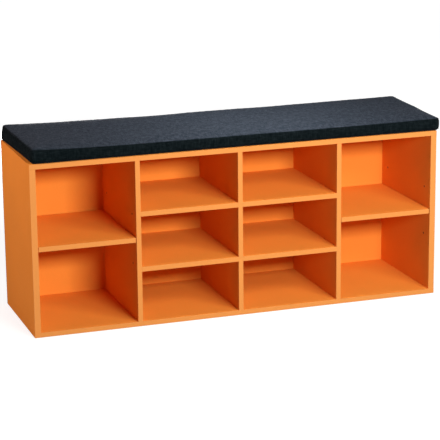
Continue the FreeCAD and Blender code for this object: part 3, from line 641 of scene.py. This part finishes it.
def rounded_outline(half_x, half_y, radius, arc_steps, side_steps):
    """Points of a rectangle with round corners; side_steps are those of its upright and level sides."""
    arcs = []
    for quarter, (side_x, side_y) in enumerate(((1, -1), (1, 1), (-1, 1), (-1, -1))):
        x, y = side_x * (half_x - radius), side_y * (half_y - radius)
        turns = [math.radians(90 * (quarter - 1 + step / arc_steps)) for step in range(arc_steps + 1)]
        arcs.append([(x + radius * math.cos(turn), y + radius * math.sin(turn)) for turn in turns])
    outline = []
    for quarter, arc in enumerate(arcs):
        (x, y), (end_x, end_y) = arc[-1], arcs[(quarter + 1) % 4][0]
        steps = side_steps[quarter % 2]
        shares = [step / steps for step in range(1, steps)]
        outline += arc
        outline += [(x + share * (end_x - x), y + share * (end_y - y)) for share in shares]
    return outline


def tube_loop(name, path, radius, sides=8):
    """A closed tube round a closed path that lies nearly level."""
    ahead = np.roll(path, -1, axis=0) - np.roll(path, 1, axis=0)
    ahead /= np.linalg.norm(ahead, axis=1)[:, None]
    outward = np.cross(ahead, (0.0, 0.0, 1.0))
    outward /= np.linalg.norm(outward, axis=1)[:, None]
    upward = np.cross(outward, ahead)
    rings = []
    for point, out, up in zip(path, outward, upward):
        rings.append([point + radius * (cosine * out + sine * up) for cosine, sine in circle(sides)])
    return mesh_from(name, *bridge(rings, is_loop=True))


def screw_places(node):
    """Middles of the upright screws of a CAD node, from the loose parts of its mesh."""
    shape = bmesh.new()
    shape.from_mesh(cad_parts[node].data)
    bmesh.ops.remove_doubles(shape, verts=shape.verts, dist=1e-6)
    waiting = set(shape.verts)
    places = []
    while waiting:
        part = [waiting.pop()]
        for vertex in part:
            for edge in vertex.link_edges:
                other = edge.other_vert(vertex)
                if other in waiting:
                    waiting.remove(other)
                    part.append(other)
        xs = [vertex.co.x for vertex in part]
        ys = [vertex.co.y for vertex in part]
        places.append(((min(xs) + max(xs)) / 2, (min(ys) + max(ys)) / 2))
    shape.free()
    return sorted(places)


def cover_foils(name, radius, thickness, sides=32):
    """Thin round foils with a soft rim on the heads of the top panel's screws."""
    rim = ((0.0, 1.0), (0.5, 1.0), (0.85, 0.985), (1.0, 0.95))
    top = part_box("top_panel")[1].z
    bodies = []
    for x, y in screw_places("top_screws"):
        rings = []
        for share, size in rim:
            reach, z = size * radius, top + share * thickness
            rings.append([(x + reach * cosine, y + reach * sine, z) for cosine, sine in circle(sides)])
        bodies.append(rings)
    return joined(name, bodies)


# Cushion

def cushion_ring(settings, inset, height, arc_steps=8, side_steps=48):
    """Outline of the cushion at one height, drawn in between its corners, as points."""
    middle = (COVER_LOW + COVER_HIGH) / 2
    half_x = (COVER_HIGH.x - COVER_LOW.x) / 2 - inset
    half_y = (COVER_HIGH.y - COVER_LOW.y) / 2 - inset
    up = min(1.0, max(0.0, (height - COVER_LOW.z) / (COVER_HIGH.z - COVER_LOW.z)))
    left_reach = settings.rear_reach * (1 - settings.left_lean * up)
    ring = []
    for x, y in rounded_outline(half_x, half_y, settings.corner, arc_steps, (side_steps, side_steps)):
        drawn_x = x * (1 - settings.end_draw / half_x * (1 - (y / half_y) ** 2) * (x / half_x) ** 4)
        reach = settings.rear_reach if x > 0 else -left_reach
        drawn_x += reach * (x / half_x) ** 4 * (y / half_y + 1) / 2
        front_share = (1 - (x / half_x) ** 2) * (y / half_y) ** 4 if y < 0 else 0.0
        ring.append((middle.x + drawn_x, middle.y + y + settings.front_draw * front_share, height))
    return ring


def side_top(settings):
    """Height of the upper edge of the cushion's sides, below the crown."""
    crown_share = 0.96
    return COVER_HIGH.z - crown_share * settings.crown + settings.edge_rise


def cushion_profile(settings, shrink, lift):
    """Insets and heights of the rings from the underside, round the sides, to the crown."""
    low = COVER_LOW.z + lift
    side = side_top(settings) - shrink
    half_y = (COVER_HIGH.y - COVER_LOW.y) / 2
    bottom, top = settings.bottom_round, settings.top_round
    turns = [math.radians(angle) for angle in (0, 22.5, 45, 67.5, 90)]
    rings = [(bottom * (1 - math.sin(turn)), low + bottom * (1 - math.cos(turn))) for turn in turns]
    rings += [(top * (1 - math.cos(turn)), side - top * (1 - math.sin(turn))) for turn in turns[:-1]]
    rise = COVER_HIGH.z - shrink - side
    for share in (0.06, 0.15, 0.3, 0.5, 0.7, 0.85):
        rings.append((share * half_y, side + rise * (1 - (1 - share) ** 2)))
    return [(inset + shrink, height) for inset, height in rings]


def cushion_form(name, settings, shrink, lift=0.0):
    """Closed crowned form of the cushion, smaller by shrink on its sides and top and by lift below."""
    profile = cushion_profile(settings, shrink, lift)
    rings = [cushion_ring(settings, inset, height) for inset, height in profile]
    return mesh_from(name, *bridge(rings))


def nearest_on_path(points, path):
    """How far along a path the nearest point of it lies for each point, and how far away."""
    path = np.array(path)
    steps = np.linalg.norm(np.diff(path, axis=0), axis=1)
    lengths = np.concatenate([[0.0], np.cumsum(steps)])
    tree = KDTree(len(path))
    for index, point in enumerate(path):
        tree.insert(point, index)
    tree.balance()
    found = [tree.find(point) for point in points]
    along = lengths[[index for _, index, _ in found]]
    return along, np.array([distance for _, _, distance in found])


def swell(mesh, settings):
    """Fills the cloth with pressure in a short simulation and keeps each point within the cap."""
    held_width = 0.8 * settings.voxel
    scene = bpy.context.scene
    piece = new_object("swelling", mesh)
    start = points_of(mesh)
    edge = cushion_ring(settings, settings.start_gap, side_top(settings), side_steps=180)
    _, from_edge = nearest_on_path(start, edge)
    is_base = start[:, 2] < COVER_LOW.z + settings.bottom_round / 2
    is_rear = start[:, 1] > COVER_HIGH.y - settings.start_gap - settings.bottom_round / 2
    is_held = is_base | is_rear | (from_edge < held_width)
    held = piece.vertex_groups.new(name="held")
    held.add([int(index) for index in np.flatnonzero(is_held)], 1.0, "REPLACE")
    cloth = piece.modifiers.new("Cloth", "CLOTH")
    cloth.settings.quality = 6
    cloth.settings.mass = 0.25
    cloth.settings.tension_stiffness = 40
    cloth.settings.compression_stiffness = 40
    cloth.settings.bending_stiffness = 6
    cloth.settings.vertex_group_mass = held.name
    cloth.settings.use_pressure = True
    cloth.settings.uniform_pressure_force = settings.pressure
    cloth.settings.effector_weights.gravity = 0
    cloth.collision_settings.use_collision = False
    cloth.collision_settings.use_self_collision = False
    cloth.point_cache.frame_start = 1
    cloth.point_cache.frame_end = settings.steps
    for step in range(1, settings.steps + 1):
        scene.frame_set(step)
    evaluated = piece.evaluated_get(bpy.context.evaluated_depsgraph_get())
    moved = points_of(evaluated.to_mesh()) - start
    evaluated.to_mesh_clear()
    scene.frame_set(1)
    bpy.data.objects.remove(piece)
    distance = np.maximum(np.linalg.norm(moved, axis=1), 1e-9)[:, None]
    move_points(mesh, start + moved / distance * settings.swell * np.tanh(distance / settings.swell))


def seam_paths(settings, mesh):
    """Paths of the upper and lower seam on the swollen cover."""
    tree = BVHTree.FromPolygons(
        [vertex.co for vertex in mesh.vertices], [tuple(face.vertices) for face in mesh.polygons]
    )
    diagonal = 1 - math.sqrt(0.5)
    levels = (
        (settings.top_round * diagonal, side_top(settings) - settings.top_round * diagonal),
        (settings.bottom_round * diagonal, COVER_LOW.z + settings.bottom_round * diagonal),
    )
    paths = []
    for inset, height in levels:
        ring = cushion_ring(settings, inset, height, arc_steps=10, side_steps=180)
        paths.append(np.array([tuple(tree.find_nearest(Vector(point))[0]) for point in ring]))
    return paths


def lifted(points, settings):
    """Points of the cushion with its ends and its rear raised, and the left end most."""
    shares = (points - np.array(COVER_LOW)) / np.array(COVER_HIGH - COVER_LOW)
    across = 2 * shares[:, 0] - 1
    rise = settings.end_lift * np.abs(across) ** 3
    rise += settings.left_lift * np.clip(-across, 0, None) ** 5
    rise += settings.rear_lift * np.clip(shares[:, 1], 0, 1)
    moved = points.copy()
    moved[:, 2] += rise * np.clip(shares[:, 2], 0, 1)
    return moved


def press_seams(mesh, paths, settings):
    """Grooves along the seams, puckers beside them and slight unevenness of the cloth."""
    groove_width, pucker_width = 0.0028, 0.009
    short_wave, long_wave, long_share, long_phase = 0.017, 0.0263, 0.7, 1.0
    uneven_height, uneven_rates = 0.0007, np.array((7, 10, 14))
    base_margin, rear_margin = 0.002, 0.004
    points = points_of(mesh)
    normals = points_of(mesh, "normal")
    lift = np.zeros(len(points))
    for path in paths:
        along, away = nearest_on_path(points, path)
        turns = 2 * math.pi * along
        puckers = np.sin(turns / short_wave) + long_share * np.sin(turns / long_wave + long_phase)
        lift -= settings.groove * np.exp(-((away / groove_width) ** 2))
        lift += settings.pucker * puckers * np.exp(-((away / pucker_width) ** 2))
    lift += uneven_height * np.array([noise.noise(Vector(place)) for place in uneven_rates * points])
    is_free = points[:, 2] > COVER_LOW.z + base_margin
    is_free &= points[:, 1] < COVER_HIGH.y - rear_margin
    points += normals * (lift * is_free)[:, None]
    move_points(mesh, lifted(points, settings))


def sewn_cover(settings):
    """Mesh of the cushion's cover with its seams, and the seams' paths."""
    mesh = with_modifier(
        cushion_form("seat_cushion_cover", settings, settings.start_gap),
        "REMESH",
        mode="VOXEL",
        voxel_size=settings.voxel,
        use_smooth_shade=True,
    )
    swell(mesh, settings)
    mesh = with_modifier(mesh, "SUBSURF", levels=1, render_levels=1)
    paths = seam_paths(settings, mesh)
    press_seams(mesh, paths, settings)
    return mesh, [lifted(path, settings) for path in paths]


def base_sheet(settings):
    """Thin base cloth with a soft edge, as a closed sheet."""
    clearance = 0.0003
    edge = ((0.0012, 0.0), (0.0003, 0.15), (0.0, 0.5), (0.0003, 0.85), (0.0012, 1.0))
    low = BASE_LOW.z + clearance
    thickness = BASE_HIGH.z - low
    rings = []
    for inset, share in edge:
        rings.append(cushion_ring(settings, settings.bottom_round + inset, low + share * thickness))
    return mesh_from("seat_cushion_base", *bridge(rings))


# Zip

def tooth_rings(x, middle_z, direction, pitch):
    """Rings of one zip tooth: a stem on its tape and a wider head past the middle line."""
    root = (TEETH_HIGH.z - TEETH_LOW.z) / 2
    stem, head, tip, middle = 0.2 * pitch, 0.25 * pitch, 0.45 * root, 0.25 * root
    right_side = [
        (0.5 * head, -tip),
        (head, -0.3 * root),
        (head, 0.05 * root),
        (stem, 0.28 * root),
        (stem, root),
    ]
    outline = [(-across, up) for across, up in reversed(right_side)] + right_side
    depth = TEETH_HIGH.y - TEETH_LOW.y
    rings = []
    for share, size in ((0.0, 1.0), (0.7, 1.0), (0.93, 0.86), (1.0, 0.6)):
        y = TEETH_LOW.y + share * depth
        ring = [
            (x + size * across, y, middle_z + direction * (middle + size * (up - middle)))
            for across, up in outline
        ]
        rings.append(ring)
    return rings


def stitch_rings(x, y, z, length, thread, sides=6):
    """Rings of one short stitch that lies along X on the welt."""
    rings = []
    for share, size in ((-0.5, 0.25), (-0.35, 0.85), (0.0, 1.0), (0.35, 0.85), (0.5, 0.25)):
        radius, end = size * thread / 2, x + share * length
        rings.append([(end, y + radius * cosine, z + radius * sine) for cosine, sine in circle(sides)])
    return rings


def zip_teeth(settings):
    """Closed row of teeth, from the upper and the lower tape in turn."""
    middle_z = (TEETH_LOW.z + TEETH_HIGH.z) / 2
    count = int((TEETH_HIGH.x - TEETH_LOW.x) / settings.tooth_pitch)
    bodies = []
    for index in range(count):
        for direction, share in ((1, 0.25), (-1, 0.75)):
            x = TEETH_LOW.x + (index + share) * settings.tooth_pitch
            bodies.append(tooth_rings(x, middle_z, direction, settings.tooth_pitch))
    return joined("zip_teeth_row", bodies)


def zip_tapes():
    """Two woven tapes that meet under the teeth, with soft long edges."""
    gap, soft = 0.0004, 0.0003
    middle_z = (TAPE_LOW.z + TAPE_HIGH.z) / 2
    bodies = []
    for low, high in ((TAPE_LOW.z, middle_z - gap / 2), (middle_z + gap / 2, TAPE_HIGH.z)):
        section = [
            (TAPE_LOW.y, low),
            (TAPE_LOW.y, high),
            (TAPE_HIGH.y - soft, high),
            (TAPE_HIGH.y, high - soft),
            (TAPE_HIGH.y, low + soft),
            (TAPE_HIGH.y - soft, low),
        ]
        bodies.append([[(x, y, z) for y, z in section] for x in (TAPE_LOW.x, TAPE_HIGH.x)])
    return joined("zip_tapes", bodies)


def welt_loop(offset, height):
    """Rounded rectangle round the zip, further out by offset and above the tapes by height, as points."""
    end_overlap, side_overlap, radius = 0.0025, 0.0017, 0.0008
    ripple, ripple_length = 0.00012 if offset > 0 else 0.0, 0.031
    middle = (TAPE_LOW + TAPE_HIGH) / 2
    half_x = (TAPE_HIGH.x - TAPE_LOW.x) / 2 - end_overlap + offset
    half_z = (TAPE_HIGH.z - TAPE_LOW.z) / 2 - side_overlap + offset
    loop = []
    for x, z in rounded_outline(half_x, half_z, radius + offset, arc_steps=6, side_steps=(1, 160)):
        wave = ripple * math.sin(2 * math.pi * x / ripple_length)
        loop.append((middle.x + x, TAPE_HIGH.y + height + wave, middle.z + z))
    return loop


def zip_welt():
    """Folded cloth edge that frames the zip and covers the outer edges of its tapes."""
    inner_fold = ((0.0, -0.0002), (0.0, 0.0003), (0.0003, 0.00065), (0.001, 0.0008))
    outer_slope = ((0.002, 0.0006), (0.003, -0.0002), (0.0036, -0.0018))
    loops = [welt_loop(offset, height) for offset, height in inner_fold + outer_slope]
    return mesh_from("zip_welt", *bridge(loops, is_loop=True))


def zip_stitching(settings):
    """A row of stitches along the welt above and below the zip."""
    inward, height, length_share = 0.0002, 0.0007, 0.72
    length = length_share * settings.stitch_pitch
    count = int((TAPE_HIGH.x - TAPE_LOW.x) / settings.stitch_pitch)
    bodies = []
    for z in (TAPE_LOW.z + inward, TAPE_HIGH.z - inward):
        for index in range(count):
            x = TAPE_LOW.x + (index + 0.5) * settings.stitch_pitch
            bodies.append(stitch_rings(x, TAPE_HIGH.y + height, z, length, settings.thread))
    return joined("zip_stitching", bodies)


# Studio

def add_camera(settings):
    """The camera at the photograph's viewing angle."""
    data = bpy.data.cameras.new("camera")
    data.lens = settings.lens
    data.sensor_width = 36
    camera = new_object("camera", data)
    place = Matrix.Translation(settings.camera_place)
    yaw = Matrix.Rotation(-settings.camera_yaw, 4, "Z")
    pitch = Matrix.Rotation(math.pi / 2 - settings.camera_pitch, 4, "X")
    roll = Matrix.Rotation(settings.camera_roll, 4, "Z")
    camera.matrix_world = place @ yaw @ pitch @ roll
    bpy.context.scene.camera = camera


def add_lamp(name, place, aim, width, height, power):
    """A soft rectangular lamp that the camera doesn't see."""
    data = bpy.data.lights.new(name, "AREA")
    data.shape = "RECTANGLE"
    data.size = width
    data.size_y = height
    data.energy = power
    lamp = new_object(name, data)
    lamp.location = place
    lamp.rotation_euler = (Vector(aim) - Vector(place)).to_track_quat("-Z", "Y").to_euler()
    lamp.visible_camera = False
    return data


def add_lamps(settings):
    """All lamps: the one above with a narrow beam, and the one on the left a little warm."""
    lamps = {}
    for name, place, aim, width, height in LAMPS:
        power = getattr(settings, f"{name}_power")
        lamps[name] = add_lamp(f"{name}_light", place, aim, width, height, power)
    lamps["top"].spread = settings.top_spread
    lamps["side"].color = settings.side_tint


def looked_at(tree):
    """1 for rays from the camera, in reflections and through glass, and 0 for light on its way."""
    rays = add_node(tree, "ShaderNodeLightPath").outputs
    direct = calculate("MAXIMUM", rays["Is Camera Ray"], rays["Is Glossy Ray"])
    return calculate("MAXIMUM", direct, rays["Is Transmission Ray"])


def add_world(settings):
    """White where it is looked at, and a dim even light otherwise."""
    world = bpy.data.worlds.new("studio")
    world.use_nodes = True
    tree = world.node_tree
    tree.nodes.clear()
    white = (1, 1, 1, 1)
    dim = add_node(tree, "ShaderNodeBackground", {"Color": white, "Strength": settings.ambient})
    bright = add_node(tree, "ShaderNodeBackground", {"Color": white})
    inputs = {0: looked_at(tree), 1: dim.outputs[0], 2: bright.outputs[0]}
    mixed = add_node(tree, "ShaderNodeMixShader", inputs)
    add_node(tree, "ShaderNodeOutputWorld", {"Surface": mixed.outputs[0]})
    bpy.context.scene.world = world


def add_floor(settings):
    """A wide pale floor that keeps the bench's shadow and is white further out."""
    half, below = 30, -0.0005
    white_from, white_to = 0.9, 3.0
    corners = [(-half, -half, below), (half, -half, below), (half, half, below), (-half, half, below)]
    mesh = mesh_from("floor", corners, [(0, 1, 2, 3)], smooth=False)
    material = bpy.data.materials.new("floor")
    material.use_nodes = True
    tree = material.node_tree
    tree.nodes.clear()
    distance = add_node(tree, "ShaderNodeVectorMath", {0: coordinates(tree)}, operation="LENGTH")
    far = step_between(distance.outputs["Value"], white_from, white_to)
    strength = product(between(far, settings.floor_lift, 1.0), looked_at(tree))
    plain = add_node(tree, "ShaderNodeBsdfDiffuse", {"Color": opaque(settings.floor)})
    glow = add_node(tree, "ShaderNodeEmission", {"Color": (1, 1, 1, 1), "Strength": strength})
    both = add_node(tree, "ShaderNodeAddShader", {0: plain.outputs[0], 1: glow.outputs[0]})
    add_node(tree, "ShaderNodeOutputMaterial", {"Surface": both.outputs[0]})
    mesh.materials.append(material)
    floor = new_object("floor", mesh)


# Operators

class BENCH_OT_finish_boards(bpy.types.Operator):
    """Gives boards, shelves, edge bands and the back panel their finish"""

    bl_idname = "bench.finish_boards"
    bl_label = "Finish boards"

    def execute(self, context):
        settings = context.scene.bench_boards
        finish_slot("board", foil_finish("board_foil", settings, is_drilled=True))
        finish_slot("edge_band", band_finish(settings))
        finish_slot("back_board", back_finish(settings))
        return {"FINISHED"}


class BENCH_OT_finish_fasteners(bpy.types.Operator):
    """Gives pins, screws, nails, cams, bolts and dowels their finish"""

    bl_idname = "bench.finish_fasteners"
    bl_label = "Finish fasteners"

    def execute(self, context):
        finish_slot("shelf_pin", metal_finish("shelf_pin_zinc", (0.60, 0.60, 0.58), 0.32, 500))
        finish_slot("screw_steel", metal_finish("screw_zinc", (0.58, 0.57, 0.53), 0.35, 700))
        finish_slot("nail_steel", metal_finish("nail_steel", (0.26, 0.26, 0.25), 0.48, 900))
        finish_slot("cam_metal", metal_finish("cam_alloy", (0.50, 0.50, 0.51), 0.48, 300))
        finish_slot("dowel_wood", dowel_finish())
        return {"FINISHED"}


class BENCH_OT_stick_cover_foils(bpy.types.Operator):
    """Sticks round cover foils over the screws in the top panel"""

    bl_idname = "bench.stick_cover_foils"
    bl_label = "Stick cover foils"

    def execute(self, context):
        settings = context.scene.bench_boards
        mesh = cover_foils("screw_cover_foils", settings.cover_radius, settings.cover_thickness)
        new_piece("screw_cover_foils", mesh, foil_finish("cover_foil", settings), "carcass")
        return {"FINISHED"}


class BENCH_OT_sew_cover(bpy.types.Operator):
    """Makes the cushion's cover by a short cloth simulation, with its two seams"""

    bl_idname = "bench.sew_cover"
    bl_label = "Sew cushion cover"

    def execute(self, context):
        seam_radius = 0.0006
        settings = context.scene.bench_cushion
        mesh, paths = sewn_cover(settings)
        cover = new_piece("seat_cushion_cover", mesh, cloth_finish(settings), "cushion")
        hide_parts("cushion_cover")
        finish = seam_finish(settings)
        for name, path in zip(("seat_cushion_top_seam", "seat_cushion_bottom_seam"), paths):
            seam = tube_loop(name, path, seam_radius)
            new_piece(name, seam, finish, "cushion")
        return {"FINISHED"}


class BENCH_OT_cut_base_cloth(bpy.types.Operator):
    """Makes the cloth under the cushion"""

    bl_idname = "bench.cut_base_cloth"
    bl_label = "Cut base cloth"

    def execute(self, context):
        mesh = base_sheet(context.scene.bench_cushion)
        base = new_piece("seat_cushion_base", mesh, base_cloth_finish(), "cushion")
        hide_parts("cushion_base_cloth")
        return {"FINISHED"}


class BENCH_OT_cut_foam(bpy.types.Operator):
    """Makes the foam core inside the cover"""

    bl_idname = "bench.cut_foam"
    bl_label = "Cut foam core"

    def execute(self, context):
        from_cover, from_base = 0.008, 0.004
        settings = context.scene.bench_cushion
        mesh = cushion_form("seat_cushion_foam", settings, from_cover, from_base)
        foam = new_piece("seat_cushion_foam", mesh, foam_finish(settings), "cushion")
        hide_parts("cushion_foam")
        return {"FINISHED"}


class BENCH_OT_fit_zip(bpy.types.Operator):
    """Makes the zip's tapes, welt, stitching and teeth and finishes its metal"""

    bl_idname = "bench.fit_zip"
    bl_label = "Fit zip"

    def execute(self, context):
        settings = context.scene.bench_zip
        tape = tape_finish(settings)
        tapes = new_piece("zip_tapes", zip_tapes(), tape, "cushion")
        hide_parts("zip_tape")
        cloth = bpy.data.objects["seat_cushion_cover"].active_material
        new_piece("zip_welt", zip_welt(), cloth, "cushion")
        new_piece("zip_stitching", zip_stitching(settings), tape, "cushion")
        nylon = lacquer_finish("zip_nylon", (0.014, 0.014, 0.016), 0.4)
        teeth = new_piece("zip_teeth_row", zip_teeth(settings), nylon, "cushion")
        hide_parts("zip_teeth")
        finish_slot("zip_metal", lacquer_finish("zip_lacquer", (0.018, 0.018, 0.020), 0.3))
        return {"FINISHED"}


class BENCH_OT_set_stage(bpy.types.Operator):
    """Adds the camera, the lamps, the world and the floor"""

    bl_idname = "bench.set_stage"
    bl_label = "Set stage"

    def execute(self, context):
        settings = context.scene.bench_stage
        context.scene.view_settings.view_transform = "Standard"
        add_camera(settings)
        add_lamps(settings)
        add_world(settings)
        add_floor(settings)
        return {"FINISHED"}


class BENCH_PT_builder(bpy.types.Panel):
    """Lists the settings and the steps"""

    bl_idname = "BENCH_PT_builder"
    bl_label = "Shoe bench"
    bl_space_type = "VIEW_3D"
    bl_region_type = "UI"
    bl_category = "Bench"

    def draw(self, context):
        layout = self.layout
        for name in SETTINGS:
            settings = getattr(context.scene, name)
            box = layout.box()
            for key in settings.bl_rna.properties.keys():
                if key not in ("rna_type", "name"):
                    box.prop(settings, key)
        for operator in OPERATORS:
            layout.operator(operator.bl_idname)


SETTINGS = {
    "bench_boards": BenchBoardSettings,
    "bench_cushion": BenchCushionSettings,
    "bench_zip": BenchZipSettings,
    "bench_stage": BenchStageSettings,
}

OPERATORS = (
    BENCH_OT_finish_boards,
    BENCH_OT_finish_fasteners,
    BENCH_OT_stick_cover_foils,
    BENCH_OT_sew_cover,
    BENCH_OT_cut_base_cloth,
    BENCH_OT_cut_foam,
    BENCH_OT_fit_zip,
    BENCH_OT_set_stage,
)


def register():
    """Registers the settings, the operators and the panel."""
    for cls in (*SETTINGS.values(), *OPERATORS, BENCH_PT_builder):
        bpy.utils.register_class(cls)
    for name, cls in SETTINGS.items():
        setattr(bpy.types.Scene, name, PointerProperty(type=cls))


def unregister():
    """Takes them out again."""
    for name in SETTINGS:
        delattr(bpy.types.Scene, name)
    for cls in reversed((*SETTINGS.values(), *OPERATORS, BENCH_PT_builder)):
        bpy.utils.unregister_class(cls)


def main():
    """Builds the dressed bench on its stage."""
    register()
    bpy.ops.bench.finish_boards()
    bpy.ops.bench.finish_fasteners()
    bpy.ops.bench.stick_cover_foils()
    bpy.ops.bench.sew_cover()
    bpy.ops.bench.cut_base_cloth()
    bpy.ops.bench.cut_foam()
    bpy.ops.bench.fit_zip()
    bpy.ops.bench.set_stage()


if __name__ == "__main__":
    main()
